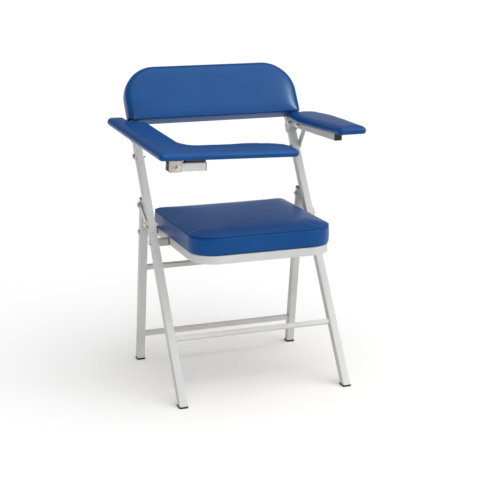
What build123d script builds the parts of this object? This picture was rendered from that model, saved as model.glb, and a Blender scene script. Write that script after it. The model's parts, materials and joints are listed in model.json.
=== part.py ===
from build123d import *
import math
import os

# Folding phlebotomy chair: two leaning uprights, crossing rear legs, a padded seat and backrest,
# a short padded arm on one side and, on the other, an L-shaped padded arm that flips up.
# Working frame: X across, -Y the side a sitter faces, +Z up, floor at Z = 0, Y = 0 at the front feet.
# "left" is the -X side and "right" the +X side, as seen by someone who looks at the chair's front.

# ---------------------------------------------------------------- driving dimensions (mm, degrees)
BOX_MIDDLE = (-0.5, 251.8)      # X, Y of the middle of the overall box: the written parts' origin
TUBE = 22.2                     # square tube of the frame
TUBE_WALL = 1.6
TUBE_CORNER = 2.5
BAR = 14.0                      # square tube of the crossbars
BAR_WALL = 1.2
HALF = TUBE / 2
FRAME_X = 242.0                 # middle of the uprights, rear legs and arm tubes
INNER_FACE = FRAME_X - HALF
OUTER_FACE = FRAME_X + HALF
PLAY = 0.4                      # gap between flat faces that move past each other
BORE_PLAY = 0.1                 # radial gap of a bolt in its hole

UPRIGHT_LEAN = 32.15            # from vertical, leaning back
UPRIGHT_TOP = 910.0             # along the tube from the floor, hidden behind the backrest
FRONT_CROSSBAR_AT = 190.0
UPRIGHT_SCREW_AT = 497.0

REAR_FOOT_Y = 419.0
REAR_LEG_LEAN = 8.2             # from vertical, leaning forward
REAR_LEG_TOP = 510.0
REAR_CROSSBARS_AT = (83.0, 298.0)
FOOT_HEIGHT = 5.0

LINK_UPRIGHT_AT = 525.0         # pivot of the fold link, along the upright
SEAT_PIVOT_AT = 472.0           # pivot of the seat, along the upright
LINK_LEG_AT = 493.0             # pivot of the fold link, along the rear leg
SEAT_LEG_AT = 411.0             # pivot of the seat, along the rear leg
LINK_WIDTH = 21.0
STRAP_THICK = 3.0
STRAP_BREAK = 0.4               # broken edges of the flat straps and lugs

SEAT_HALF_WIDTH = 200.0
SEAT_FRONT = -5.0
SEAT_REAR = 390.1
SEAT_TUBE_Z = 403.4
SEAT_CORNER = 71.0
SEAT_CUSHION_HALF_WIDTH = 203.0
SEAT_CUSHION_FRONT = -3.0
SEAT_CUSHION_CORNER = 68.0
SEAT_CUSHION_REAR_CORNER = 14.0
SEAT_TOP = 474.0
SEAT_BOARD_THICK = 12.0
SEAT_BOARD_INSET = 7.0
SEAT_SCREWS_AT = (75.0, 310.0)
CUSHION_LIFT = 1.4              # cover's lower edge above the underside of its board
SEAT_SPACER_SIDE, SEAT_SPACER_WASHER = 20.0, 11.5
LEG_SPACER_SIDE, LEG_SPACER_WASHER = 17.6, 8.9   # clear of the cushion that hangs over the rail
SPACER_WASHER_THICK = 2.4

BACK_HALF_WIDTH = 264.0
BACK_FROM, BACK_TO = 826.0, 994.0
BACK_FACE = 58.0                # front of the cushion, ahead of the uprights' middle line
BACK_TOP_CORNER = 100.0
BACK_BOARD_INSET = 12.0
BACK_BOARD_THICK = 13.4
BACK_SCREWS_AT = (850.0, 892.0)

ARM_PIVOT = (400.0, 692.0)      # Y, Z of the bolt between arm tube and upright lugs
ARM_TAIL = 7.0                  # tube behind that bolt
STRUT_AHEAD = 58.0              # from that bolt to the strut's bolt in the arm tube
STRUT_UPRIGHT_AT = 735.0        # strut's bolt in the upright, along the upright
STRUT_WIDTH = 20.0
RIGHT_ARM_RISE = 0.023          # rise of the right arm tube per unit forward
LEFT_ARM_DROP = 0.060           # drop of the left arm tube per unit forward
LEFT_TUBE_LOW = 1.3             # left arm tube's middle below its bolt
RIGHT_ARM_LENGTH = 314.0        # from the bolt forward
RIGHT_PAD_SCREWS_AT = (-110.0, -260.0)
PLATE = 3.0
LUG_FROM, LUG_TO = 784.0, 812.0

PAD_BOARD_THICK = 9.0
PAD_BOARD_INSET = 10.0
PAD_THICK = 22.0
PAD_GAP = 0.7                   # the cover ends just above the board's underside
RIGHT_PAD_MIDDLE = 21.0         # outboard of the arm tube's middle
RIGHT_PAD_REAR, RIGHT_PAD_FRONT = 2.0, -371.0
RIGHT_PAD_REAR_HALF, RIGHT_PAD_FRONT_HALF = 42.0, 40.0
RIGHT_PAD_WIDEST = (-110.0, 57.0)      # place along the arm and half-width there
RIGHT_PAD_WAIST = (-214.0, 53.5)

HINGE = (-247.6, -2.0, 659.6)   # bolt of the flip-up arm, at the front of its channel
LEFT_PAD_Z = 19.6               # underside of the L-shaped pad above the hinge bolt
LEFT_PAD_OUTER, LEFT_PAD_INNER = -54.0, 46.0
LEFT_PAD_END = 344.0
LEFT_PAD_FRONT, LEFT_PAD_BAR_REAR = -8.5, 88.0
LEFT_PAD_STEP_X, LEFT_PAD_STEP_Y = 0.0, 388.0
LEFT_PAD_REAR = 457.0
CHANNEL_DEPTH = 29.0
CHANNEL_SHEET = 3.0
CHANNEL_FROM, CHANNEL_TO = -25.0, 9.7
CROSS_TUBE_FROM, CROSS_TUBE_TO = -23.0, 77.0
HINGE_PLATE = 6.0
HINGE_PLATE_WELD = (5.6, 7.6)   # middle of the arm tube's end on the plate, from the bolt
CROSS_TUBE_SCREWS_AT = (34.0, 62.0)
SPACER_STRIP_FROM, SPACER_STRIP_TO = 22.0, 77.0

BOLT = 6.35
HEX = 11.1
HEAD = 4.2
NUT = 5.5
WASHER = 1.2
WASHER_RADIUS = 7.0
SCREW = 4.2

# ---------------------------------------------------------------- frames of the leaning parts
LEAN = math.radians(UPRIGHT_LEAN)
LEG_LEAN = math.radians(REAR_LEG_LEAN)
# local Z along the upright, local Y towards the back
UPRIGHT = Plane((0, 0, 0), x_dir=(1, 0, 0), z_dir=(0, math.sin(LEAN), math.cos(LEAN)))
# local Y along the upright, local Z forward, off the uprights' middle line
BACKREST = Plane((0, 0, 0), x_dir=(1, 0, 0), z_dir=(0, -math.cos(LEAN), math.sin(LEAN)))
# local Z along the rear leg, local Y towards the back
REAR_LEG = Plane((0, REAR_FOOT_Y, 0), x_dir=(1, 0, 0), z_dir=(0, -math.sin(LEG_LEAN), math.cos(LEG_LEAN)))
RIGHT_ARM = Plane((FRAME_X, *ARM_PIVOT), x_dir=(1, 0, 0), z_dir=(0, RIGHT_ARM_RISE, 1))
LEFT_TUBE = Plane(
    (-FRAME_X, ARM_PIVOT[0], ARM_PIVOT[1] - LEFT_TUBE_LOW), x_dir=(1, 0, 0), z_dir=(0, -LEFT_ARM_DROP, 1))
# local X along the L-shaped pad's front bar, local Y back along its arm, local Z off its face
LEFT_ARM = Plane(
    HINGE,
    x_dir=(0.9979, 0.0506, -0.0410),
    z_dir=(0.0438, -0.0597, 0.9973),
)


def on_upright(along):
    return along * math.sin(LEAN), along * math.cos(LEAN)


def on_rear_leg(along):
    return REAR_FOOT_Y - along * math.sin(LEG_LEAN), along * math.cos(LEG_LEAN)


def on_arm(slope, ahead):
    scale = math.hypot(1, slope)
    return ARM_PIVOT[0] - ahead / scale, ARM_PIVOT[1] + ahead * slope / scale


LINK_TOP = on_upright(LINK_UPRIGHT_AT)
SEAT_PIVOT = on_upright(SEAT_PIVOT_AT)
LINK_LOW = on_rear_leg(LINK_LEG_AT)
LEG_PIVOT = on_rear_leg(SEAT_LEG_AT)
STRUT_LOW = on_upright(STRUT_UPRIGHT_AT)
STRUT_TOP_RIGHT = on_arm(RIGHT_ARM_RISE, STRUT_AHEAD)
STRUT_TOP_LEFT = on_arm(-LEFT_ARM_DROP, STRUT_AHEAD)


# ---------------------------------------------------------------- shared pieces
def save(node, *pieces):
    shift = Pos(-BOX_MIDDLE[0], -BOX_MIDDLE[1], 0)
    solids = [solid for piece in pieces for solid in (shift * piece).solids()]
    shape = solids[0] if len(solids) == 1 else Compound(children=solids)
    export_step(shape, f"parts/{node}.step")


def mirrored(piece):
    return mirror(piece, Plane.YZ)


def tube_section(side=TUBE, wall=TUBE_WALL, corner=TUBE_CORNER):
    inside = side - 2 * wall
    return RectangleRounded(side, side, corner) - RectangleRounded(inside, inside, corner - wall)


def plug(side=TUBE, wall=TUBE_WALL, cap=2.5, spigot=12.0):
    """Plug with its cap above z = 0 and its spigot below, for a tube that ends at z = 0."""
    inside = side - 2 * wall - 0.2
    head = extrude(RectangleRounded(side, side, TUBE_CORNER), cap)
    head = fillet(head.edges().group_by(Axis.Z)[-1], 0.8)
    return head + extrude(RectangleRounded(inside, inside, 0.8), -spigot)


def bore(place, radius=BOLT / 2 + BORE_PLAY):
    """A hole right across the chair at a Y, Z place."""
    return Pos(0, *place) * Rot(0, 90, 0) * Cylinder(radius, 700)


def across(place, start, end, radius):
    """A round bar along X, between two X positions, at a Y, Z place."""
    return Pos(start, *place) * Rot(0, 90, 0) * Cylinder(
        radius, end - start, align=(Align.CENTER, Align.CENTER, Align.MIN)
    )


def hexagon(height):
    """Bolt head or nut with its corners turned off, from z = 0 up."""
    prism = extrude(RegularPolygon(HEX / 2, 6, major_radius=False), height)
    turned = Cylinder(HEX / math.sqrt(3), height, align=(Align.CENTER, Align.CENTER, Align.MIN))
    return prism & chamfer(turned.edges(), 0.5, 1.0)


def hex_across(place, start, end):
    return Pos(start, *place) * (Plane.YZ * hexagon(end - start))


def ring_across(place, start, end, radius):
    return across(place, start, end, radius) - across(place, start - 1, end + 1, BOLT / 2 + 0.05)


def bolt_set(place, outer, inner, washer_gap=0.0):
    """Hex bolt along X through a stack from outer to inner face, with a washer and a nut."""
    washer = ring_across(place, outer + washer_gap, outer + washer_gap + WASHER, WASHER_RADIUS)
    head_at = outer + washer_gap + WASHER
    shank = across(place, inner - NUT - 2.5, head_at + 0.5, BOLT / 2)
    bolt = shank + hex_across(place, head_at, head_at + HEAD)
    nut = hex_across(place, inner - NUT, inner) - across(place, inner - 20, inner + 20, BOLT / 2 + 0.05)
    return [bolt, washer, nut]


def broken(plate):
    """A flat plate across X with the sharp edges of both its faces taken off."""
    rims = plate.edges().group_by(Axis.X)
    return chamfer(rims[0] + rims[-1], STRAP_BREAK)


def plate_between(first, second, width, inner):
    """Flat strap with round ends in a plane across X, from its inner face outwards."""
    ends = Sketch() + [Pos(*first) * Circle(width / 2), Pos(*second) * Circle(width / 2)]
    strap = broken(extrude(Plane.YZ * make_hull(ends.edges()), STRAP_THICK))
    return Pos(inner, 0, 0) * strap - bore(first) - bore(second)


def pan_screw(length, head=4.6):
    """Pan-head screw: head on z > 0, shank down to z = -length."""
    cap = Cylinder(head, 2.4, align=(Align.CENTER, Align.CENTER, Align.MIN))
    cap = fillet(cap.edges().group_by(Axis.Z)[-1], 1.4)
    return cap + Pos(0, 0, -length) * Cylinder(
        SCREW / 2, length, align=(Align.CENTER, Align.CENTER, Align.MIN)
    )


def screw_hole(length):
    return Cylinder(SCREW / 2 + 0.05, 2 * length)


def foot(tube_plane, foot_y, lean):
    """Black glide on the floor, with a spigot up inside the leaning tube."""
    depth = TUBE / math.cos(lean) + 2.4
    pad = Pos(FRAME_X, foot_y, 0) * extrude(RectangleRounded(TUBE + 2.4, depth, 3.0), FOOT_HEIGHT)
    inside = TUBE - 2 * TUBE_WALL - 0.2
    spigot = tube_plane * Pos(FRAME_X, 0, 0) * extrude(RectangleRounded(inside, inside, 0.8), 30)
    above = Pos(FRAME_X, foot_y, FOOT_HEIGHT - 0.5) * Box(
        120, 120, 60, align=(Align.CENTER, Align.CENTER, Align.MIN)
    )
    return pad + (spigot & above)


def leaning_tube(tube_plane, top):
    """Square tube at FRAME_X along a leaning plane's Z, cut level on top of its glide."""
    whole = tube_plane * Pos(FRAME_X, 0, -40) * extrude(tube_section(), top + 40)
    below = Pos(FRAME_X, 0, FOOT_HEIGHT) * Box(
        200, 1400, 200, align=(Align.CENTER, Align.CENTER, Align.MAX)
    )
    return whole - below


def crossbar(tube_plane, along):
    length = 2 * INNER_FACE
    bar = extrude(tube_section(BAR, BAR_WALL, 2.0), length)
    return tube_plane * Pos(-INNER_FACE, 0, along) * Rot(0, 90, 0) * bar


# ---------------------------------------------------------------- uprights
def upright():
    tube = leaning_tube(UPRIGHT, UPRIGHT_TOP)
    for place in (LINK_TOP, SEAT_PIVOT, STRUT_LOW):
        tube -= bore(place)
    for along in BACK_SCREWS_AT:
        tube -= UPRIGHT * Pos(FRAME_X, 0, along) * Rot(-90, 0, 0) * screw_hole(HALF + 5)
    tube -= UPRIGHT * Pos(FRAME_X, -HALF, UPRIGHT_SCREW_AT) * Rot(90, 0, 0) * screw_hole(6)
    return tube


def build_uprights():
    tube = upright()
    save("upright_right", tube)
    save("upright_left", mirrored(tube))
    save("front_crossbar", crossbar(UPRIGHT, FRONT_CROSSBAR_AT))
    glide = foot(UPRIGHT, FOOT_HEIGHT * math.tan(LEAN), LEAN)
    save("front_foot_right", glide)
    save("front_foot_left", mirrored(glide))
    top = UPRIGHT * Pos(FRAME_X, 0, UPRIGHT_TOP) * plug()
    save("upright_plug", top, mirrored(top))
    screw = UPRIGHT * Pos(FRAME_X, -HALF, UPRIGHT_SCREW_AT) * Rot(90, 0, 0) * pan_screw(8, 4.2)
    save("upright_screw", screw, mirrored(screw))


# ---------------------------------------------------------------- rear legs
def build_rear_legs():
    tube = leaning_tube(REAR_LEG, REAR_LEG_TOP) - bore(LINK_LOW) - bore(LEG_PIVOT)
    save("rear_leg_right", tube)
    save("rear_leg_left", mirrored(tube))
    for name, along in zip(("lower", "upper"), REAR_CROSSBARS_AT):
        save(f"rear_crossbar_{name}", crossbar(REAR_LEG, along))
    foot_y = REAR_FOOT_Y - FOOT_HEIGHT * math.tan(LEG_LEAN)
    glide = foot(REAR_LEG, foot_y, LEG_LEAN)
    save("rear_foot_right", glide)
    save("rear_foot_left", mirrored(glide))
    top = REAR_LEG * Pos(FRAME_X, 0, REAR_LEG_TOP) * plug()
    save("rear_leg_plug", top, mirrored(top))


# ---------------------------------------------------------------- fold links and pivot bolts
def build_links():
    plate = plate_between(LINK_TOP, LINK_LOW, LINK_WIDTH, OUTER_FACE + PLAY)
    save("fold_link_right", plate)
    save("fold_link_left", mirrored(plate))


def build_pivot_bolts():
    link_outside = OUTER_FACE + PLAY + STRAP_THICK
    rail_inside = SEAT_HALF_WIDTH - TUBE
    link_bolt = bolt_set(LINK_TOP, link_outside, INNER_FACE, washer_gap=PLAY)
    save("link_pivot_bolt", *link_bolt, *map(mirrored, link_bolt))
    seat_bolt = bolt_set(SEAT_PIVOT, OUTER_FACE, rail_inside - PLAY)
    save("seat_pivot_bolt", *seat_bolt, *map(mirrored, seat_bolt))
    leg_bolt = bolt_set(LEG_PIVOT, OUTER_FACE, rail_inside, washer_gap=PLAY)
    save("leg_pivot_bolt", *leg_bolt, *map(mirrored, leg_bolt))
    # the fold link's lower bolt is in two halves: a head in the link, a stud and nut in the leg
    washer = ring_across(LINK_LOW, link_outside, link_outside + WASHER, WASHER_RADIUS)
    head_at = link_outside + WASHER
    head = hex_across(LINK_LOW, head_at, head_at + HEAD)
    head += across(LINK_LOW, OUTER_FACE + PLAY, head_at + 0.5, BOLT / 2)
    save("link_bolt_head", head, washer, mirrored(head), mirrored(washer))
    stud = across(LINK_LOW, INNER_FACE - NUT - 2.5, OUTER_FACE, BOLT / 2)
    nut = hex_across(LINK_LOW, INNER_FACE - NUT, INNER_FACE)
    nut -= across(LINK_LOW, INNER_FACE - 20, INNER_FACE + 1, BOLT / 2 + 0.05)
    save("link_bolt_stud", stud, nut, mirrored(stud), mirrored(nut))


# ---------------------------------------------------------------- seat
def rounded_front(half_width, front, rear, corner, rear_corner=0.0):
    middle = (front + rear) / 2
    outline = Pos(0, middle) * Rectangle(2 * half_width, rear - front)
    outline = fillet(outline.vertices().group_by(Axis.Y)[0], corner)
    if rear_corner:
        outline = fillet(outline.vertices().group_by(Axis.Y)[-1], rear_corner)
    return outline


def seat_outline(inset):
    return rounded_front(
        SEAT_CUSHION_HALF_WIDTH - inset, SEAT_CUSHION_FRONT + inset, SEAT_REAR - inset,
        SEAT_CUSHION_CORNER - inset, SEAT_CUSHION_REAR_CORNER - inset)


def seat_ring():
    """Square tube bent to a U, open at the back."""
    def layer(inset, height):
        outside = rounded_front(
            SEAT_HALF_WIDTH - inset, SEAT_FRONT + inset, SEAT_REAR, SEAT_CORNER - inset)
        inside_at = TUBE - inset
        inside = rounded_front(
            SEAT_HALF_WIDTH - inside_at, SEAT_FRONT + inside_at, SEAT_REAR + 1, SEAT_CORNER - inside_at)
        return Pos(0, 0, SEAT_TUBE_Z - height / 2) * extrude(outside - inside, height)

    return layer(0, TUBE) - layer(TUBE_WALL, TUBE - 2 * TUBE_WALL)


def build_seat():
    top = SEAT_TUBE_Z + HALF
    rail_x = SEAT_HALF_WIDTH - HALF
    screws = [(side * rail_x, y) for side in (-1, 1) for y in SEAT_SCREWS_AT]
    ring = seat_ring() - bore(SEAT_PIVOT) - bore(LEG_PIVOT)
    board = Pos(0, 0, top) * extrude(seat_outline(SEAT_BOARD_INSET), SEAT_BOARD_THICK)
    pocket = Pos(0, 0, top) * extrude(seat_outline(SEAT_BOARD_INSET - 0.2), SEAT_BOARD_THICK)
    cushion = Pos(0, 0, top + CUSHION_LIFT) * extrude(
        seat_outline(0.0), SEAT_TOP - top - CUSHION_LIFT)
    cushion = fillet(cushion.edges().group_by(Axis.Z)[-1], 12.0) - pocket
    fasteners = []
    for x, y in screws:
        place = Pos(x, y, SEAT_TUBE_Z - HALF) * Rot(180, 0, 0)
        fasteners.append(place * pan_screw(TUBE + 9))
        ring -= place * screw_hole(TUBE + 5)
        board -= place * Pos(0, 0, -TUBE - 4.75) * Cylinder(SCREW / 2 + 0.05, 9.5)
    rear_bar = Pos(-SEAT_HALF_WIDTH + TUBE, SEAT_REAR - HALF, SEAT_TUBE_Z) * Rot(0, 90, 0) * extrude(
        tube_section(), 2 * (SEAT_HALF_WIDTH - TUBE))
    save("seat_frame", ring)
    save("seat_rear_bar", rear_bar)
    save("seat_board", board)
    save("seat_cushion", cushion)
    save("seat_screw", *fasteners)


def build_spacers():
    """Blocks that fill the space between the seat rails and the tubes beside them."""
    start = SEAT_HALF_WIDTH
    block_start = start + SPACER_WASHER_THICK
    for name, place, side, radius in (
        ("seat_spacer", SEAT_PIVOT, SEAT_SPACER_SIDE, SEAT_SPACER_WASHER),
        ("leg_spacer", LEG_PIVOT, LEG_SPACER_SIDE, LEG_SPACER_WASHER),
    ):
        section = Plane.YZ * RectangleRounded(side, side, 2.0)
        block = Pos(block_start, *place) * extrude(section, INNER_FACE - PLAY - block_start)
        block -= bore(place)
        save(name, block, mirrored(block))
        washer = across(place, start, block_start, radius) - bore(place)
        save(f"{name}_washer", washer, mirrored(washer))


# ---------------------------------------------------------------- backrest
def back_outline(inset):
    low, high = BACK_FROM + inset, BACK_TO - inset
    outline = Pos(0, (low + high) / 2) * Rectangle(2 * (BACK_HALF_WIDTH - inset), high - low)
    outline = fillet(outline.vertices().group_by(Axis.Y)[-1], BACK_TOP_CORNER - inset)
    return fillet(outline.vertices().group_by(Axis.Y)[0], 6.0)


def build_backrest():
    board = BACKREST * Pos(0, 0, HALF) * extrude(back_outline(BACK_BOARD_INSET), BACK_BOARD_THICK)
    pocket = BACKREST * Pos(0, 0, HALF) * extrude(back_outline(BACK_BOARD_INSET - 0.2), BACK_BOARD_THICK)
    cushion = Pos(0, 0, HALF + CUSHION_LIFT) * extrude(
        back_outline(0), BACK_FACE - HALF - CUSHION_LIFT)
    cushion = BACKREST * fillet(cushion.edges().group_by(Axis.Z)[-1], 10.0) - pocket
    screws = []
    for side in (-1, 1):
        for along in BACK_SCREWS_AT:
            place = UPRIGHT * Pos(side * FRAME_X, HALF, along) * Rot(-90, 0, 0)
            screws.append(place * pan_screw(TUBE + 10))
            board -= place * Pos(0, 0, -TUBE - 5.25) * Cylinder(SCREW / 2 + 0.05, 10.5)
    save("back_board", board)
    save("back_cushion", cushion)
    save("back_screw", *screws)


# ---------------------------------------------------------------- arm supports
def arm_lugs():
    """Two plates that clasp the upright and hold the arm tube between them."""
    middle = on_upright((LUG_FROM + LUG_TO) / 2)
    on_tube = Pos(*middle) * Rot(0, 0, -UPRIGHT_LEAN) * Rectangle(TUBE, LUG_TO - LUG_FROM)
    nose = Pos(*ARM_PIVOT) * Circle(HALF)
    outline = Plane.YZ * make_hull([*on_tube.edges(), *nose.edges()])
    plates = []
    for inner in (INNER_FACE - PLATE, OUTER_FACE):
        plates.append(Pos(inner, 0, 0) * broken(extrude(outline, PLATE)) - bore(ARM_PIVOT))
    return plates


def forward_tube(length):
    """Arm tube from ARM_TAIL behind its frame's origin to a length in front of it."""
    return Pos(0, ARM_TAIL, 0) * extrude(Plane.XZ * tube_section(), length + ARM_TAIL)


def build_arm_supports():
    lugs = arm_lugs()
    save("arm_lug", *lugs, *map(mirrored, lugs))

    right = RIGHT_ARM * forward_tube(RIGHT_ARM_LENGTH) - bore(ARM_PIVOT) - bore(STRUT_TOP_RIGHT)
    for y in RIGHT_PAD_SCREWS_AT:
        right -= RIGHT_ARM * Pos(0, y, HALF) * screw_hole(4)
    save("arm_tube_right", right)
    left = LEFT_TUBE * forward_tube(ARM_PIVOT[0]) - bore(ARM_PIVOT) - bore(STRUT_TOP_LEFT)
    ahead_of_plate = LEFT_ARM * Pos(0, CHANNEL_DEPTH + PLAY + HINGE_PLATE, 0) * Box(
        200, 200, 200, align=(Align.CENTER, Align.MAX, Align.CENTER))
    save("arm_tube_left", left - ahead_of_plate)
    save("arm_tube_cap_right", RIGHT_ARM * Pos(0, -RIGHT_ARM_LENGTH, 0) * Rot(90, 0, 0) * plug())
    rear = Pos(0, ARM_TAIL, 0) * Rot(-90, 0, 0) * plug(cap=1.6, spigot=3.0)
    save("arm_tube_tail_cap", RIGHT_ARM * rear, LEFT_TUBE * rear)

    right_strut = plate_between(STRUT_TOP_RIGHT, STRUT_LOW, STRUT_WIDTH, OUTER_FACE)
    left_strut = plate_between(STRUT_TOP_LEFT, STRUT_LOW, STRUT_WIDTH, OUTER_FACE)
    save("arm_strut_right", right_strut)
    save("arm_strut_left", mirrored(left_strut))

    plates_out, plates_in = OUTER_FACE + PLATE, INNER_FACE - PLATE
    pivot = bolt_set(ARM_PIVOT, plates_out, plates_in)
    save("arm_pivot_bolt", *pivot, *map(mirrored, pivot))
    right_top = bolt_set(STRUT_TOP_RIGHT, plates_out, INNER_FACE)
    left_top = bolt_set(STRUT_TOP_LEFT, plates_out, INNER_FACE)
    low = bolt_set(STRUT_LOW, plates_out, INNER_FACE)
    save("strut_bolt", *right_top, *map(mirrored, left_top), *low, *map(mirrored, low))


# ---------------------------------------------------------------- right arm pad
def right_pad_outline(inset):
    """Boat-shaped outline, in the arm's frame: widest a third of the way forward."""
    rear, front = RIGHT_PAD_REAR - inset, RIGHT_PAD_FRONT + inset
    rear_half, front_half = RIGHT_PAD_REAR_HALF - inset, RIGHT_PAD_FRONT_HALF - inset
    widest_y, widest = RIGHT_PAD_WIDEST
    waist_y, waist = RIGHT_PAD_WAIST
    edges = Line((rear_half, rear), (-rear_half, rear)) + Line((front_half, front), (-front_half, front))
    for side in (-1, 1):
        belly = (side * (widest - inset), widest_y)
        hip = (side * (waist - inset), waist_y)
        edges += ThreePointArc((side * rear_half, rear), belly, hip)
        edges += Line(hip, (side * front_half, front))
    outline = make_face(edges.edges())
    outline = fillet(outline.vertices().group_by(Axis.Y)[-1], 25.0 - inset)
    outline = fillet(outline.vertices().group_by(Axis.Y)[0], 13.0 - inset)
    return Pos(RIGHT_PAD_MIDDLE, 0) * outline


def pad_and_board(outline, underside, screws):
    """Cover and filling over a thin board, and the screws that come up into the board."""
    board = Pos(0, 0, underside) * extrude(outline(PAD_BOARD_INSET), PAD_BOARD_THICK)
    pocket = Pos(0, 0, underside) * extrude(outline(PAD_BOARD_INSET - 0.2), PAD_BOARD_THICK)
    pad = Pos(0, 0, underside + PAD_GAP) * extrude(outline(0.0), PAD_THICK - PAD_GAP)
    pad = fillet(pad.edges().group_by(Axis.Z)[-1], 7.0) - pocket
    for x, y in screws:
        board -= Pos(x, y, underside) * Cylinder(SCREW / 2 + 0.05, 2 * (PAD_BOARD_THICK - 1.5))
    return pad, board


def build_right_arm():
    screws = [(0.0, y) for y in RIGHT_PAD_SCREWS_AT]
    pad, board = pad_and_board(right_pad_outline, HALF, screws)
    save("right_arm_pad", RIGHT_ARM * pad)
    save("right_arm_board", RIGHT_ARM * board)
    heads = [Pos(x, y, HALF - TUBE_WALL) * screw_through_board() for x, y in screws]
    save("right_arm_screw", *(RIGHT_ARM * head for head in heads))


def screw_through_board():
    """Short screw with its head inside the tube, up into the board."""
    return Rot(180, 0, 0) * pan_screw(TUBE_WALL + PAD_BOARD_THICK - 2.0, 3.6)


# ---------------------------------------------------------------- left arm, flips up
def left_pad_outline(inset):
    """L-shaped outline: an arm along Y, a bar along X at its front, a step beside the backrest."""
    outer, inner, end = LEFT_PAD_OUTER + inset, LEFT_PAD_INNER - inset, LEFT_PAD_END - inset
    front, bar_rear = LEFT_PAD_FRONT + inset, LEFT_PAD_BAR_REAR - inset
    step_x, step_y = LEFT_PAD_STEP_X - inset, LEFT_PAD_STEP_Y - inset
    rear = LEFT_PAD_REAR - inset
    corners = [
        ((outer, front), 12.0, -1),
        ((end, front), 13.0, -1),
        ((end, bar_rear), 42.0, -1),
        ((inner, bar_rear), 45.0, 1),
        ((inner, step_y), 12.0, -1),
        ((step_x, step_y), 11.0, 1),
        ((step_x, rear), 12.0, -1),
        ((outer, rear), 16.0, -1),
    ]
    outline = make_face(Polyline(*(corner for corner, _, _ in corners), close=True).edges())
    for corner, radius, turn in corners:
        at = Vector(*corner)
        vertex = min(outline.vertices(), key=lambda v: (Vector(*v) - at).length)
        outline = fillet(vertex, max(radius + turn * inset, 2.0))
    return outline


def channel():
    """Plated bracket folded from sheet: a web under the pad and a flange before and behind."""
    width = CHANNEL_TO - CHANNEL_FROM
    middle = (CHANNEL_FROM + CHANNEL_TO) / 2
    low = -HALF - 0.6
    height = LEFT_PAD_Z - low
    block = Pos(middle, CHANNEL_DEPTH / 2, low + height / 2) * Box(width, CHANNEL_DEPTH, height)
    block = fillet(block.edges().filter_by(Axis.X).group_by(Axis.Z)[-1], 2.5)
    clear = height - CHANNEL_SHEET + 1
    inside = Pos(middle, CHANNEL_DEPTH / 2, low - 1 + clear / 2) * Box(
        width + 2, CHANNEL_DEPTH - 2 * CHANNEL_SHEET, clear)
    return block - inside - Rot(90, 0, 0) * Cylinder(BOLT / 2 + BORE_PLAY, 100)


def cross_tube():
    middle_y = CHANNEL_DEPTH / 2
    length = CROSS_TUBE_TO - CROSS_TUBE_FROM
    tube = Pos(CROSS_TUBE_FROM, middle_y, 0) * Rot(0, 90, 0) * extrude(tube_section(), length)
    return tube - Rot(90, 0, 0) * Cylinder(BOLT / 2 + BORE_PLAY, 100)


def hinge_bolt():
    """Bolt along Y: washer and head in front of the channel, screwed into the hinge plate."""
    def along_y(radius, start, end):
        return Pos(0, end, 0) * Rot(90, 0, 0) * Cylinder(
            radius, end - start, align=(Align.CENTER, Align.CENTER, Align.MIN))

    head_at = -PLAY - WASHER
    head = Pos(0, head_at, 0) * Rot(90, 0, 0) * hexagon(HEAD)
    shank = along_y(BOLT / 2, head_at - 0.5, CHANNEL_DEPTH + PLAY + HINGE_PLATE - 0.5)
    washer = along_y(WASHER_RADIUS + 1, head_at, -PLAY) - along_y(BOLT / 2 + 0.05, -10, 10)
    return [head + shank, washer]


def hinge_plate():
    """Steel plate welded across the arm tube's front end, with a threaded hole for the bolt."""
    start = CHANNEL_DEPTH + PLAY
    outline = make_hull([
        *Circle(11.0).edges(),
        *(Pos(*HINGE_PLATE_WELD) * Rectangle(TUBE - 1, TUBE - 1)).edges(),
    ])
    plate = Pos(0, start + HINGE_PLATE, 0) * extrude(Plane.XZ * outline, HINGE_PLATE)
    return plate - Pos(0, start, 0) * Rot(90, 0, 0) * Cylinder(BOLT / 2 + 0.05, 2 * HINGE_PLATE - 0.6)


def build_left_arm():
    middle_y = CHANNEL_DEPTH / 2
    screws = [(x, middle_y) for x in CROSS_TUBE_SCREWS_AT]
    pad, board = pad_and_board(left_pad_outline, LEFT_PAD_Z, screws)
    save("left_arm_pad", LEFT_ARM * pad)
    save("left_arm_board", LEFT_ARM * board)
    save("flip_channel", LEFT_ARM * channel())
    tube = cross_tube()
    strip_middle = (SPACER_STRIP_FROM + SPACER_STRIP_TO) / 2
    strip = Pos(strip_middle, middle_y, (HALF + LEFT_PAD_Z) / 2) * Box(
        SPACER_STRIP_TO - SPACER_STRIP_FROM, TUBE - 3, LEFT_PAD_Z - HALF)
    fasteners = []
    for x, y in screws:
        hole = Pos(x, y, 0) * Cylinder(SCREW / 2 + 0.05, 80)
        tube -= hole
        strip -= hole
        fasteners.append(Pos(x, y, -HALF) * Rot(180, 0, 0) * pan_screw(
            HALF + LEFT_PAD_Z + PAD_BOARD_THICK - 2.0, 4.2))
    save("cross_tube", LEFT_ARM * tube)
    save("cross_tube_spacer", LEFT_ARM * strip)
    save("cross_tube_screw", *(LEFT_ARM * fastener for fastener in fasteners))
    ends = [
        Pos(CROSS_TUBE_TO, middle_y, 0) * Rot(0, 90, 0) * plug(spigot=8.0),
        Pos(CROSS_TUBE_FROM, middle_y, 0) * Rot(0, -90, 0) * plug(cap=1.6, spigot=8.0),
    ]
    save("cross_tube_cap", *(LEFT_ARM * end for end in ends))
    save("flip_bolt", *(LEFT_ARM * piece for piece in hinge_bolt()))
    save("hinge_plate", LEFT_ARM * hinge_plate())


def main():
    os.makedirs("parts", exist_ok=True)
    build_uprights()
    build_rear_legs()
    build_links()
    build_pivot_bolts()
    build_seat()
    build_spacers()
    build_backrest()
    build_arm_supports()
    build_right_arm()
    build_left_arm()


main()
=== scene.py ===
import json
import math

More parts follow.
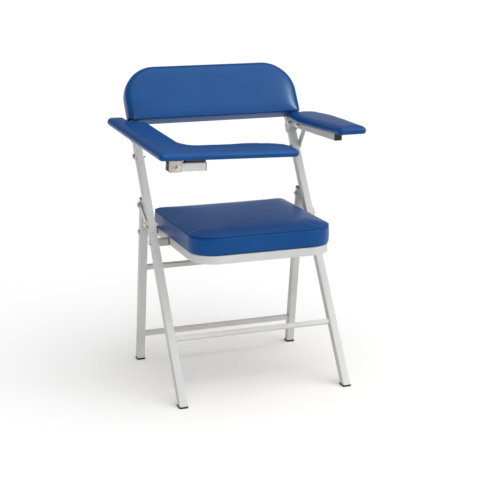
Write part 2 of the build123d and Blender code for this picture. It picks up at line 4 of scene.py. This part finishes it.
import bpy
import numpy as np
from mathutils import Matrix, Vector
from mathutils.geometry import delaunay_2d_cdt


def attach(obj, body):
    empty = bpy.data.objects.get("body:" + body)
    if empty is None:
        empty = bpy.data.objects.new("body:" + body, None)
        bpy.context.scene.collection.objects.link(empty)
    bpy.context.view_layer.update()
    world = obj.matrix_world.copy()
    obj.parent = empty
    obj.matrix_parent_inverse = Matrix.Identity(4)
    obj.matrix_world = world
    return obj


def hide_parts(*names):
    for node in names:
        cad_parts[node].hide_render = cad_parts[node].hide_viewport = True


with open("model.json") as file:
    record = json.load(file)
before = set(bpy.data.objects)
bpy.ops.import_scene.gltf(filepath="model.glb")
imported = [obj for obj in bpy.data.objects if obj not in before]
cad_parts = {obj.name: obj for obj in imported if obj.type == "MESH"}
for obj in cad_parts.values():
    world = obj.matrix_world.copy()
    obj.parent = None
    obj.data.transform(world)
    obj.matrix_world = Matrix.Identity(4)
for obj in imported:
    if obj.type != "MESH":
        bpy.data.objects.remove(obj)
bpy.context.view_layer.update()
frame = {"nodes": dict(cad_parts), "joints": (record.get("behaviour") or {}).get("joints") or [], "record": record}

# The looks of a folding phlebotomy chair: four blue vinyl cushions are built here round the packed
# frame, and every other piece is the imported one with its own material. Lengths are in metres.

MM = 0.001
JOINTS = {joint["name"]: joint for joint in frame["joints"]}
NODES = frame["nodes"]

# ------------------------------------------------------------------ driving values
RING_STEP = 4.5 * MM             # distance between mesh points along a cushion's edge
FILL_STEP = 7.0 * MM             # distance between mesh points inside a cushion's face
SEAM_DEEP = 2.0 * MM             # groove between a cushion's face and its side band
SEAM_WIDE = 2.4 * MM
# the groove's section from the band to the face: shares of its depth inwards and of its width up
SEAM_SECTION = [(0.0, -1.0), (0.35, -0.5), (1.0, -0.15), (1.0, 0.15), (-0.3, 0.6)]
BAND_SHARES = (0.25, 0.4, 0.55, 0.7, 0.82)       # heights of the rings of a side band
BAND_TUCK = 2.5 * MM             # radius of a side band's bottom edge
POCKET_RINGS = 3                 # rings of a cushion's pocket, which follow the board under it
POCKET_GAP = 0.3 * MM            # between a board and the ceiling of its pocket
BAND_HEM = 0.6 * MM              # bevel of the pocket's mouth
PAD_HEM = 0.4 * MM
SHARP_ANGLE = 50.0               # degrees between faces that are shaded as an edge

CLOTH_FRAMES = 20
CLOTH_SETTINGS = {
    "quality": 4,
    "mass": 0.3,
    "tension_stiffness": 15,
    "compression_stiffness": 15,
    "shear_stiffness": 8,
    "bending_stiffness": 1.5,
    "use_pressure": True,
    "uniform_pressure_force": 4.0,
}
FIRM_SWELL = 3 * MM              # how far the cloth may move on the seat and the backrest
THIN_SWELL = 1.2 * MM            # and on the arm pads

SOLVER_ROUNDS = 600
SOLVER_END = 1e-22               # squared residual at which the diffusion is solved
TINY = 1e-12                     # keeps divisions away from zero
FAINTEST = 1e-9                  # least diffused value that is turned into a distance
RING_CLEAR = 0.6                 # share of the fill step that the filling keeps from its ring
MERGE_WITHIN = 1e-7              # points this near each other count as one in the triangulation

CAMERA_AT = (-1.2012, -3.2875, 1.2796)
CAMERA_TURN = -20.315            # degrees from looking along +Y
CAMERA_PITCH = 14.322            # degrees down
CAMERA_ROLL = 0.077
CAMERA_LENS = 94.19              # mm
CAMERA_SENSOR = 36.0             # mm
CAMERA_REACH = 200.0

FLOOR_HALF = 60.0
FLOOR_WHITE = (0.95, 0.95, 0.95, 1.0)
# brightness of the studio's walls by the sine of the elevation, from the horizon to the ceiling
SKY = [(0.0, 0.80), (0.10, 0.40), (0.24, 0.20), (0.50, 0.35), (1.0, 0.78)]


# ------------------------------------------------------------------ node helpers
class Shader:
    """A node material under construction."""

    def __init__(self, name):
        self.material = bpy.data.materials.new(name)
        self.material.use_nodes = True
        self.nodes = self.material.node_tree.nodes
        self.links = self.material.node_tree.links
        self.surface = self.nodes["Principled BSDF"]
        self.place = self.node("ShaderNodeTexCoord").outputs["Object"]

    def node(self, kind, **values):
        made = self.nodes.new(kind)
        for key, value in values.items():
            if key in made.inputs:
                made.inputs[key].default_value = value
            else:
                setattr(made, key, value)
        return made

    def set(self, **values):
        for key, value in values.items():
            self.surface.inputs[key.replace("_", " ")].default_value = value

    def link(self, source, target):
        self.links.new(source, target)

    def noise(self, scale, detail=4.0, roughness=0.5, distortion=0.0, stretch=None):
        made = self.node("ShaderNodeTexNoise", Scale=scale, Detail=detail, Roughness=roughness,
                         Distortion=distortion)
        self.link(self.stretched(stretch), made.inputs["Vector"])
        return made.outputs["Fac"]

    def cells(self, scale, feature="F1"):
        made = self.node("ShaderNodeTexVoronoi", feature=feature, Scale=scale, Randomness=1.0)
        self.link(self.place, made.inputs["Vector"])
        return made.outputs["Distance"]

    def stretched(self, stretch):
        """The object's coordinates, scaled where a pattern is longer one way."""
        if stretch is None:
            return self.place
        mapping = self.node("ShaderNodeMapping")
        mapping.inputs["Scale"].default_value = stretch
        self.link(self.place, mapping.inputs["Vector"])
        return mapping.outputs["Vector"]

    def ramp(self, source, stops):
        made = self.node("ShaderNodeValToRGB")
        elements = made.color_ramp.elements
        while len(elements) < len(stops):
            elements.new(0.5)
        for element, (at, colour) in zip(elements, stops):
            element.position = at
            element.color = (*colour, 1.0)
        self.link(source, made.inputs["Fac"])
        return made.outputs["Color"]

    def span(self, source, low, high):
        """A value from 0 to 1 mapped to low to high."""
        made = self.node("ShaderNodeMapRange")
        for key, value in (("From Min", 0.0), ("From Max", 1.0), ("To Min", low), ("To Max", high)):
            made.inputs[key].default_value = value
        self.link(source, made.inputs["Value"])
        return made.outputs["Result"]

    def sum(self, first, second):
        made = self.node("ShaderNodeMath", operation="ADD")
        self.link(first, made.inputs[0])
        self.link(second, made.inputs[1])
        return made.outputs[0]

    def bump(self, height, strength, distance):
        made = self.node("ShaderNodeBump", Strength=strength, Distance=distance)
        self.link(height, made.inputs["Height"])
        self.link(made.outputs["Normal"], self.surface.inputs["Normal"])

    def colour(self, source, stops):
        self.link(self.ramp(source, stops), self.surface.inputs["Base Color"])

    def gloss(self, source, low, high):
        """Roughness between low and high."""
        self.link(self.span(source, low, high), self.surface.inputs["Roughness"])


# ------------------------------------------------------------------ materials
def powder_coat():
    """Light grey powder coat: a faint orange peel and slightly uneven gloss."""
    shader = Shader("powder_coat")
    shader.set(Specular_IOR_Level=0.45)
    shader.colour(
        shader.noise(9.0, detail=3.0),
        [(0.3, (0.535, 0.54, 0.54)), (0.7, (0.59, 0.595, 0.595))])
    shader.gloss(shader.noise(60.0, detail=3.0), low=0.30, high=0.46)
    shader.bump(shader.noise(900.0, detail=2.0), strength=0.12, distance=0.4 * MM)
    return shader.material


def plated(name, colour, darker, roughness):
    """Zinc or nickel plate: fine brushed streaks, cloudy gloss and darker spots."""
    shader = Shader(name)
    shader.set(Metallic=1.0)
    cloud = shader.noise(70.0, detail=6.0, roughness=0.65, distortion=0.6)
    shader.colour(cloud, [(0.30, darker), (0.62, colour)])
    streaks = shader.noise(260.0, detail=3.0, stretch=(1.0, 0.08, 1.0))
    shader.gloss(streaks, low=roughness - 0.08, high=roughness + 0.16)
    shader.bump(streaks, strength=0.10, distance=0.2 * MM)
    return shader.material


def black_plastic():
    """Moulded black plastic with a fine matt texture, scuffed a little lighter."""
    shader = Shader("black_plastic")
    shader.colour(
        shader.noise(45.0, detail=5.0, roughness=0.6),
        [(0.35, (0.010, 0.010, 0.011)), (0.8, (0.035, 0.035, 0.036))])
    shader.gloss(shader.noise(120.0), low=0.42, high=0.62)
    shader.bump(shader.cells(1500.0), strength=0.10, distance=0.2 * MM)
    return shader.material


def spacer_nylon():
    """Natural nylon block: beige, slightly clouded."""
    shader = Shader("spacer_nylon")
    shader.set(Roughness=0.45, Subsurface_Weight=0.08)
    shader.colour(
        shader.noise(55.0),
        [(0.3, (0.43, 0.41, 0.33)), (0.75, (0.54, 0.52, 0.43))])
    shader.bump(shader.noise(500.0), strength=0.08, distance=0.3 * MM)
    return shader.material


def plywood():
    """Raw plywood: long grain on the faces, darker pores."""
    shader = Shader("plywood")
    shader.set(Roughness=0.72)
    grain = shader.noise(38.0, detail=8.0, roughness=0.62, distortion=1.2, stretch=(0.10, 1.0, 1.6))
    fine = shader.noise(420.0, roughness=0.6, stretch=(0.06, 1.0, 1.0))
    shader.colour(
        shader.sum(shader.span(grain, 0.0, 0.75), shader.span(fine, 0.0, 0.25)),
        [(0.22, (0.20, 0.115, 0.055)), (0.48, (0.40, 0.26, 0.14)), (0.75, (0.52, 0.37, 0.22))])
    shader.bump(fine, strength=0.25, distance=0.4 * MM)
    return shader.material


def blue_vinyl():
    """Glossy royal-blue upholstery vinyl: fine pebbles, and slow waves where the cover is slack."""
    shader = Shader("blue_vinyl")
    shader.set(
        IOR=1.31,
        Specular_Tint=(0.58, 0.86, 1.0, 1.0),
        Coat_Weight=0.05,
        Coat_Roughness=0.10)
    shader.colour(
        shader.noise(11.0, roughness=0.55),
        [(0.25, (0.0013, 0.050, 0.200)), (0.75, (0.0020, 0.061, 0.236))])
    shader.gloss(shader.noise(26.0, detail=3.0), low=0.25, high=0.37)
    pebbles = shader.span(shader.cells(720.0, "SMOOTH_F1"), 0.0, 0.6)
    grain = shader.span(shader.noise(2000.0, detail=2.0), 0.0, 0.25)
    slack = shader.span(shader.noise(16.0, detail=2.0), 0.0, 3.0)
    shader.bump(
        shader.sum(shader.sum(pebbles, grain), slack), strength=0.10, distance=0.3 * MM)
    return shader.material


MATERIALS = {
    "powder_coat": powder_coat(),
    "zinc_plate": plated("zinc_plate", (0.60, 0.54, 0.475), (0.33, 0.29, 0.245), 0.27),
    "bolt_steel": plated("bolt_steel", (0.74, 0.72, 0.69), (0.42, 0.40, 0.37), 0.22),
    "black_plastic": black_plastic(),
    "spacer_nylon": spacer_nylon(),
    "plywood": plywood(),
    "blue_vinyl": blue_vinyl(),
}


def paint_packed_nodes():
    for row in frame["record"]["subparts"]:
        node = NODES[row["node"]]
        for slot in node.material_slots:
            slot.link = "OBJECT"
            slot.material = MATERIALS[row["material_slot"]]


# ------------------------------------------------------------------ frames of the tilted cushions
def vertices(node):
    return np.array([vertex.co for vertex in NODES[node].data.vertices], float)


def thin_axis(node):
    """The direction in which a board is thinnest, pointing up or forward."""
    points = vertices(node)
    _, axes = np.linalg.eigh(np.cov((points - points.mean(0)).T))
    axis = axes[:, 0]
    return axis if axis[2] > 0 else -axis


class LocalFrame:
    """Right-handed axes of a board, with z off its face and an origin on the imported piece."""

    def __init__(self, node, along, origin):
        z = thin_axis(node)
        y = np.array(along, float)
        y -= z * (y @ z)
        y /= np.linalg.norm(y)
        self.axes = np.array([np.cross(y, z), y, z])
        self.origin = np.array(origin, float)

    def out(self, points):
        """Local points to the shared frame."""
        return self.origin + np.asarray(points) @ self.axes

    def reach(self, node):
        """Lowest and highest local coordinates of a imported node."""
        local = (vertices(node) - self.origin) @ self.axes.T
        return local.min(0), local.max(0)


# ------------------------------------------------------------------ outlines
def corner_arcs(corners):
    """Start, end, heading at the start, turn and radius of the arc at each corner."""
    places = [np.array(corner[:2], float) for corner in corners]
    arcs = []
    for index, here in enumerate(places):
        radius = corners[index][2]
        before = here - places[index - 1]
        after = places[(index + 1) % len(places)] - here
        before /= np.linalg.norm(before)
        after /= np.linalg.norm(after)
        turn = math.atan2(before[0] * after[1] - before[1] * after[0], before @ after)
        reach = radius * math.tan(abs(turn) / 2)
        arcs.append((here - before * reach, here + after * reach, before, turn, radius))
    return arcs


def rounded_outline(corners):
    """Points and outward normals round a polygon with anticlockwise corners, (x, y, radius)."""
    arcs = corner_arcs(corners)
    points, normals = [], []
    for index, (start, end, heading, turn, radius) in enumerate(arcs):
        steps = max(3, int(round(radius * abs(turn) / RING_STEP)))
        angle = math.atan2(heading[1], heading[0])
        side = 1.0 if turn > 0 else -1.0
        centre = start + side * radius * np.array([-heading[1], heading[0]])
        for step in range(steps + 1):
            now = angle + turn * step / steps
            normal = np.array([math.sin(now), -math.cos(now)])
            points.append(centre + side * radius * normal)
            normals.append(normal)
        gap = arcs[(index + 1) % len(arcs)][0] - end
        pieces = max(1, int(round(np.linalg.norm(gap) / RING_STEP)))
        for step in range(1, pieces):
            points.append(end + gap * step / pieces)
            normals.append(normals[-1])
    return np.array(points), np.array(normals)


def inside_outline(points, ring):
    """Which points lie inside a closed ring."""
    x, y = points[:, :1], points[:, 1:]
    x0, y0 = ring[:, 0], ring[:, 1]
    x1, y1 = np.roll(x0, -1), np.roll(y0, -1)
    crosses = (y0 > y) != (y1 > y)
    slope = (x1 - x0) / np.where(y1 == y0, TINY, y1 - y0)
    return (crosses & (x < x0 + slope * (y - y0))).sum(1) % 2 == 1


def fill(ring, step):
    """Even triangles inside a ring: the points, ring first, and the faces."""
    low, high = ring.min(0), ring.max(0)
    rows = []
    for row, y in enumerate(np.arange(low[1], high[1], step * math.sqrt(3) / 2)):
        xs = np.arange(low[0] + (row % 2) * step / 2, high[0], step)
        rows.append(np.column_stack([xs, np.full(len(xs), y)]))
    grid = np.vstack(rows)
    grid = grid[inside_outline(grid, ring)]
    nearest = np.array([np.min(np.hypot(*(ring - point).T)) for point in grid])
    grid = grid[nearest > RING_CLEAR * step]
    points = np.vstack([ring, grid])
    edges = [(index, (index + 1) % len(ring)) for index in range(len(ring))]
    result = delaunay_2d_cdt([Vector(point) for point in points], edges, [], 1, MERGE_WITHIN)
    faces = [face for face in result[2] if len(face) == 3]
    return np.array([tuple(vertex) for vertex in result[0]]), np.array(faces)


def cotangent_weights(points, faces):
    """Every triangle side both ways with its weight, and the area that each point stands for."""
    weights = np.zeros(0)
    starts = np.zeros(0, int)
    ends = np.zeros(0, int)
    mass = np.zeros(len(points))
    for corner in range(3):
        a, b, c = (faces[:, (corner + shift) % 3] for shift in range(3))
        u, v = points[b] - points[a], points[c] - points[a]
        area = np.abs(u[:, 0] * v[:, 1] - u[:, 1] * v[:, 0])
        cotangent = 0.5 * (u * v).sum(1) / np.maximum(area, TINY)
        weights = np.concatenate([weights, cotangent, cotangent])
        starts = np.concatenate([starts, b, c])
        ends = np.concatenate([ends, c, b])
        np.add.at(mass, a, area / 6)
    return starts, ends, weights, mass


def soft_distance(points, faces, fixed, reach):
    """Distance from the fixed points by screened diffusion, which rounds off its creases."""
    starts, ends, weights, mass = cotangent_weights(points, faces)
    diagonal = np.bincount(starts, weights, len(points)) + mass / reach ** 2

    def apply(value):
        return diagonal * value - np.bincount(starts, weights * value[ends], len(points))

    value = np.where(fixed, 1.0, 0.0)
    free = ~fixed
    residual = np.where(free, -apply(value), 0.0)
    direction = residual.copy()
    power = residual @ residual
    for _ in range(SOLVER_ROUNDS):
        moved = np.where(free, apply(direction), 0.0)
        step = power / (direction @ moved)
        value += step * direction
        residual -= step * moved
        following = residual @ residual
        if following < SOLVER_END:
            break
        direction = residual + direction * following / power
        power = following
    return -reach * np.log(np.clip(value, FAINTEST, 1.0))


def quarter_turn(steps):
    """Even angles from just after 0 up to a right angle."""
    return [math.radians(90.0 * step / steps) for step in range(1, steps + 1)]


# ------------------------------------------------------------------ cushions
class Face:
    """The face of a cushion: how its height over the seam grows inwards from its edge."""

    def __init__(self, roll_in, roll_up, crown, crown_in):
        self.roll_in = roll_in
        self.roll_up = roll_up
        self.crown = crown
        self.crown_in = crown_in

    def height(self, distance):
        share = np.clip(distance / self.roll_in, 0.0, 1.0)
        roll = self.roll_up * np.sqrt(np.maximum(0.0, 1 - (1 - share) ** 2))
        return roll + self.crown * (1 - np.exp(-distance / self.crown_in))

    def insets(self, furthest):
        """Ring distances that follow the curve of the roll evenly."""
        found = [self.roll_in * (1 - math.cos(angle)) for angle in quarter_turn(10)]
        return [inset for inset in found if inset <= furthest]


def stacked_rings(outline, rings, scale):
    """The outline moved in and up for each ring. scale changes the insets above the pocket."""
    points, normals = outline
    stack = []
    for number, (inset, z) in enumerate(rings):
        share = scale if number >= POCKET_RINGS else np.ones(len(points))
        moved = points - normals * (inset * share)[:, None]
        stack.append(np.column_stack([moved, np.full(len(points), z)]))
    return stack


def ring_faces(count, size):
    """Quads between count rings of size points."""
    faces = []
    for level in range(count - 1):
        low, high = level * size, (level + 1) * size
        for index in range(size):
            following = (index + 1) % size
            faces.append((low + index, low + following, high + following, high + index))
    return faces


def cushion_mesh(name, outline, local, levels, seam_z, face, ring_reach, smoothing, scale=None):
    """A closed cushion: rings (inset, z) from the pocket's ceiling up to the seam, then the face.

    scale changes the insets of the rings at each outline point. Returns the object and how many of
    its points belong to the levels.
    """
    size = len(outline[0])
    insets = face.insets(ring_reach)
    face_rings = [(levels[-1][0] + inset, seam_z + face.height(inset)) for inset in insets]
    stack = stacked_rings(outline, levels + face_rings, np.ones(size) if scale is None else scale)
    fill_points, fill_faces = fill(stack[-1][:, :2], FILL_STEP)
    on_ring = np.arange(len(fill_points)) < size
    distance = insets[-1] + soft_distance(fill_points, fill_faces, on_ring, smoothing)
    inner = np.column_stack([fill_points, seam_z + face.height(distance)])[size:]

    faces = ring_faces(len(stack), size)
    top = (len(stack) - 1) * size
    faces += [tuple(int(top + corner) for corner in row) for row in fill_faces]
    faces.append(tuple(reversed(range(size))))

    corners = local.out(np.vstack(stack + [inner]))
    mesh = bpy.data.meshes.new(name)
    mesh.from_pydata([tuple(corner) for corner in corners], [], faces)
    mesh.update()
    cushion = bpy.data.objects.new(name, mesh)
    bpy.context.scene.collection.objects.link(cushion)
    return cushion, len(levels) * size


def side_band(bottom, seam_z, pocket_inset, pocket_top, bulge, shoulder=(0.0, 0.0)):
    """Rings of a boxed cushion from its pocket, round its bottom edge and up its band to the seam.

    shoulder is how far in, and over what height, the band rolls in below the seam.
    """
    roll_in, roll_up = shoulder
    rings = [
        (pocket_inset, pocket_top),
        (pocket_inset, bottom + BAND_HEM),
        (pocket_inset - BAND_HEM, bottom),
        (BAND_TUCK, bottom),
    ]
    for angle in quarter_turn(4):
        inset = BAND_TUCK * (1 - math.sin(angle))
        rings.append((inset, bottom + BAND_TUCK * (1 - math.cos(angle))))
    straight = seam_z - bottom - roll_up
    for share in BAND_SHARES:
        rings.append((-bulge * math.sin(math.pi * share), bottom + share * straight))
    if roll_in:
        for angle in quarter_turn(8)[:-1]:
            inset = roll_in * (1 - math.cos(angle))
            rings.append((inset, seam_z - roll_up * (1 - math.sin(angle))))
    rings += [(roll_in + deep * SEAM_DEEP, seam_z + up * SEAM_WIDE) for deep, up in SEAM_SECTION]
    return rings


def wrapped_edge(bottom, middle, pocket_inset, pocket_top, under):
    """Rings of a thin pad whose cover wraps round its edge without a seam."""
    rings = [
        (pocket_inset, pocket_top),
        (pocket_inset, bottom + PAD_HEM),
        (pocket_inset - PAD_HEM, bottom),
    ]
    for angle in [0.0] + quarter_turn(8)[:-1]:
        inset = under * (1 - math.sin(angle))
        rings.append((inset, bottom + (middle - bottom) * (1 - math.cos(angle))))
    rings.append((0.0, middle))
    return rings


def inflate(cushion, fixed, cap):
    """Presses the free points of a cushion's cover outwards as cloth, by at most cap."""
    mesh = cushion.data
    before = np.array([vertex.co for vertex in mesh.vertices])
    group = cushion.vertex_groups.new(name="held")
    group.add(list(range(fixed)), 1.0, "REPLACE")
    cloth = cushion.modifiers.new("cloth", "CLOTH")
    for key, value in CLOTH_SETTINGS.items():
        setattr(cloth.settings, key, value)
    cloth.settings.vertex_group_mass = group.name
    cloth.settings.effector_weights.gravity = 0.0
    cloth.collision_settings.use_collision = False
    scene = bpy.context.scene
    for number in range(1, CLOTH_FRAMES + 1):
        scene.frame_set(number)
    settled = cushion.evaluated_get(bpy.context.evaluated_depsgraph_get()).data
    after = np.array([vertex.co for vertex in settled.vertices])
    cushion.modifiers.remove(cloth)
    cushion.vertex_groups.remove(group)
    scene.frame_set(1)
    moved = after - before
    length = np.linalg.norm(moved, axis=1)
    moved *= (cap * np.tanh(length / cap) / np.maximum(length, TINY))[:, None]
    mesh.vertices.foreach_set("co", (before + moved).ravel())
    mesh.update()


def finish_cushion(cushion, node, body):
    """The cover's material, smooth shading and body; the imported piece is hidden."""
    mesh = cushion.data
    mesh.materials.append(MATERIALS["blue_vinyl"])
    mesh.polygons.foreach_set("use_smooth", [True] * len(mesh.polygons))
    mesh.set_sharp_from_angle(angle=math.radians(SHARP_ANGLE))
    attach(cushion, body)
    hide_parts(node)


def seat_cushion():
    """A boxed cushion with wide front corners and a low crown."""
    local = LocalFrame("seat_board", (0, 1, 0), (0, 0, 0))
    low, high = local.reach("seat_cushion")
    _, board_high = local.reach("seat_board")
    outline = rounded_outline([
        (low[0], low[1], 68 * MM),
        (high[0], low[1], 68 * MM),
        (high[0], high[1], 22 * MM),
        (low[0], high[1], 22 * MM),
    ])
    face = Face(roll_in=42 * MM, roll_up=7.5 * MM, crown=7 * MM, crown_in=75 * MM)
    seam_z = low[2] + 47.5 * MM
    levels = side_band(
        low[2], seam_z, high[0] - board_high[0], board_high[2] + POCKET_GAP, bulge=1.4 * MM)
    cushion, fixed = cushion_mesh(
        "seat_vinyl", outline, local, levels, seam_z, face, ring_reach=14 * MM, smoothing=14 * MM)
    inflate(cushion, fixed, FIRM_SWELL)
    finish_cushion(cushion, "seat_cushion", "seat")


def back_cushion():
    """A boxed cushion with a rounded top. Its bottom face doesn't roll in as its other sides do."""
    seat_pivot = np.array(JOINTS["seat_fold"]["pos_m"])
    link_pivot = np.array(JOINTS["link_turn"]["pos_m"])
    local = LocalFrame("back_board", link_pivot - seat_pivot, seat_pivot)
    low, high = local.reach("back_cushion")
    _, board_high = local.reach("back_board")
    outline = rounded_outline([
        (low[0], low[1], 12 * MM),
        (high[0], low[1], 12 * MM),
        (high[0], high[1], 97 * MM),
        (low[0], high[1], 97 * MM),
    ])
    _, normals = outline
    scale = 1.0 - 0.85 * np.clip(-normals[:, 1], 0.0, 1.0)
    face = Face(roll_in=34 * MM, roll_up=5 * MM, crown=8 * MM, crown_in=45 * MM)
    seam_z = low[2] + 38 * MM
    levels = side_band(
        low[2], seam_z, high[0] - board_high[0], board_high[2] + POCKET_GAP, bulge=0.6 * MM,
        shoulder=(10 * MM, 14 * MM))
    cushion, fixed = cushion_mesh(
        "back_vinyl", outline, local, levels, seam_z, face,
        ring_reach=8 * MM, smoothing=14 * MM, scale=scale)
    inflate(cushion, fixed, FIRM_SWELL)
    finish_cushion(cushion, "back_cushion", "frame")


def right_arm_pad():
    """A boat-shaped pad: widest towards its rear, with tighter corners in front."""
    local = LocalFrame("right_arm_board", (0, 1, 0), (0, 0, 0))
    low, high = local.reach("right_arm_pad")
    middle = (low[0] + high[0]) / 2
    rear, front = high[1], low[1]
    right_side = [
        (middle + 41 * MM, front, 14 * MM),
        (middle + 54.5 * MM, front + 157 * MM, 500 * MM),
        (middle + 59 * MM, rear - 112 * MM, 300 * MM),
        (middle + 43 * MM, rear, 26 * MM),
    ]
    left_side = [(2 * middle - x, y, radius) for x, y, radius in reversed(right_side)]
    arm_pad("right_arm_vinyl", "right_arm", "frame", local, rounded_outline(right_side + left_side))


def left_arm_pad():
    """An L-shaped pad: an arm along the side, stepped at its rear, and a bar across the front."""
    hinge = JOINTS["arm_flip"]
    local = LocalFrame("left_arm_board", [-part for part in hinge["axis"]], hinge["pos_m"])
    low, high = local.reach("left_arm_pad")
    step_y = high[1] - 69 * MM
    bar_y = low[1] + 96.5 * MM
    inner_x = low[0] + 100 * MM
    step_x = low[0] + 54 * MM
    outline = rounded_outline([
        (low[0], low[1], 13 * MM),
        (high[0], low[1], 14 * MM),
        (high[0], bar_y - 15 * MM, 54 * MM),
        (low[0] + 289 * MM, bar_y + 7 * MM, 160 * MM),
        (low[0] + 204 * MM, bar_y - 2 * MM, 200 * MM),
        (inner_x, bar_y, 45 * MM),
        (inner_x, step_y, 13 * MM),
        (step_x, step_y, 11 * MM),
        (step_x, high[1], 13 * MM),
        (low[0], high[1], 17 * MM),
    ])
    arm_pad("left_arm_vinyl", "left_arm", "flip_arm", local, outline)


def arm_pad(name, side, body, local, outline):
    """A thin pad with a bullnose edge over its board."""
    low, high = local.reach(f"{side}_pad")
    _, board_high = local.reach(f"{side}_board")
    thick = high[2] - low[2]
    middle = low[2] + 0.40 * thick
    face = Face(roll_in=14 * MM, roll_up=0.52 * thick, crown=0.10 * thick, crown_in=22 * MM)
    levels = wrapped_edge(
        low[2], middle, pocket_inset=10 * MM, pocket_top=board_high[2] + POCKET_GAP, under=5 * MM)
    cushion, fixed = cushion_mesh(
        name, outline, local, levels, middle, face, ring_reach=9 * MM, smoothing=12 * MM)
    inflate(cushion, fixed, THIN_SWELL)
    finish_cushion(cushion, f"{side}_pad", body)


# ------------------------------------------------------------------ stage
def build_stage():
    mesh = bpy.data.meshes.new("floor")
    signs = [(-1, -1), (1, -1), (1, 1), (-1, 1)]
    mesh.from_pydata([(x * FLOOR_HALF, y * FLOOR_HALF, 0) for x, y in signs], [], [(0, 1, 2, 3)])
    floor = bpy.data.objects.new("floor", mesh)
    bpy.context.scene.collection.objects.link(floor)
    shader = Shader("floor_paper")
    shader.set(Base_Color=FLOOR_WHITE, Roughness=0.9, Specular_IOR_Level=0.1)
    mesh.materials.append(shader.material)


def soft_sun(name, come_from, strength, spread):
    """Light from a far panel, spread degrees across."""
    data = bpy.data.lights.new(name, "SUN")
    data.energy = strength
    data.angle = math.radians(spread)
    light = bpy.data.objects.new(name, data)
    light.rotation_euler = Vector(come_from).to_track_quat("Z", "Y").to_euler()
    bpy.context.scene.collection.objects.link(light)
    return light


def build_world():
    """Studio walls whose brightness changes with height."""
    world = bpy.data.worlds.new("studio")
    bpy.context.scene.world = world
    world.use_nodes = True
    nodes, links = world.node_tree.nodes, world.node_tree.links
    heading = nodes.new("ShaderNodeTexCoord")
    split = nodes.new("ShaderNodeSeparateXYZ")
    sky = nodes.new("ShaderNodeValToRGB")
    stops = sky.color_ramp.elements
    for at, _ in SKY[2:]:
        stops.new(at)
    for stop, (at, level) in zip(stops, SKY):
        stop.position = at
        stop.color = (level, level, level, 1.0)
    links.new(heading.outputs["Generated"], split.inputs["Vector"])
    links.new(split.outputs["Z"], sky.inputs["Fac"])
    links.new(sky.outputs["Color"], nodes["Background"].inputs["Color"])


def build_lights():
    """A wide key light, and a side panel that is seen only in highlights."""
    soft_sun("key", come_from=(0.30, -0.50, 0.81), strength=2.25, spread=90.0)
    side = soft_sun("side", come_from=(0.67, -0.45, 0.59), strength=1.7, spread=13.0)
    side.visible_diffuse = False


def build_camera():
    data = bpy.data.cameras.new("camera")
    data.lens = CAMERA_LENS
    data.sensor_width = CAMERA_SENSOR
    data.clip_end = CAMERA_REACH
    camera = bpy.data.objects.new("camera", data)
    turn = Matrix.Rotation(math.radians(CAMERA_TURN), 4, "Z")
    tilt = Matrix.Rotation(math.radians(90.0 - CAMERA_PITCH), 4, "X")
    roll = Matrix.Rotation(math.radians(CAMERA_ROLL), 4, "Z")
    camera.matrix_world = Matrix.Translation(CAMERA_AT) @ turn @ tilt @ roll
    bpy.context.scene.collection.objects.link(camera)
    bpy.context.scene.camera = camera


paint_packed_nodes()
seat_cushion()
back_cushion()
right_arm_pad()
left_arm_pad()
build_stage()
build_world()
build_lights()
build_camera()
bpy.context.scene.view_settings.view_transform = "Standard"
